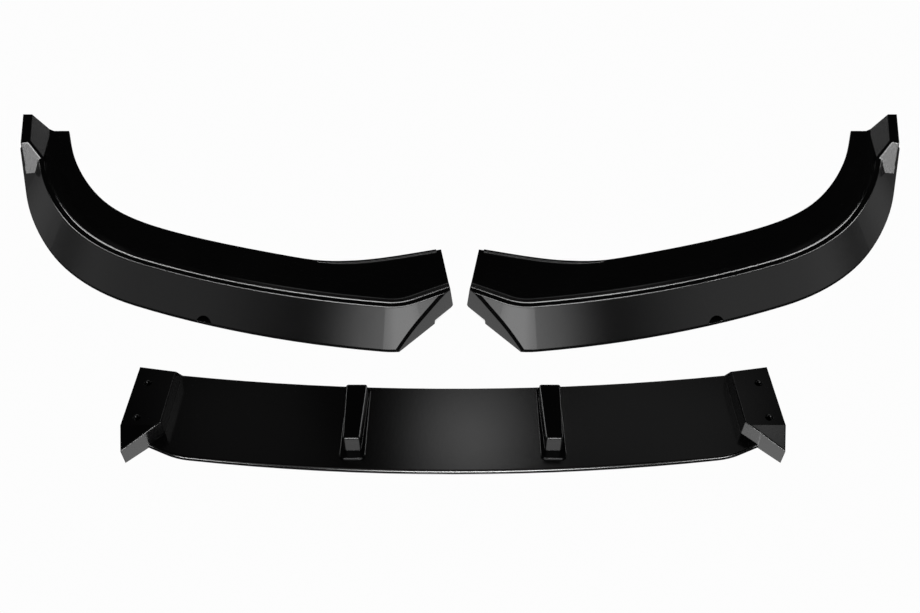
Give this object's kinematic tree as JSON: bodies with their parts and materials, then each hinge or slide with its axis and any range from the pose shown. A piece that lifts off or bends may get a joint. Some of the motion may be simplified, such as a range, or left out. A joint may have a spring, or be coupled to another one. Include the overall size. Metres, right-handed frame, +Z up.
{
  "type": "front splitter lip",
  "caption": "Front bumper splitter lip kit in gloss black plastic: mirrored corner lips with ridge, shelf and winglet, and a bowed centre plate with screw ears and fins.",
  "frame": {"origin": "on the floor under the middle of the laid-out kit", "axes": "+X across the car towards the right corner lip, +Y towards the rear of the car, +Z up"},
  "size_m": [1.2554, 0.55, 0.06],
  "materials": {
    "lip_plastic": "gloss black",
    "plate_plastic": "gloss black",
    "fin_plastic": "gloss black",
    "screw_steel": "zinc"
  },
  "bodies": {
    "root": {"corner_lip_left": "lip_plastic", "corner_lip_right": "lip_plastic", "centre_plate": "plate_plastic", "fin_left": "fin_plastic", "fin_right": "fin_plastic", "fin_screws": "screw_steel"}
  },
  "joints": []
}
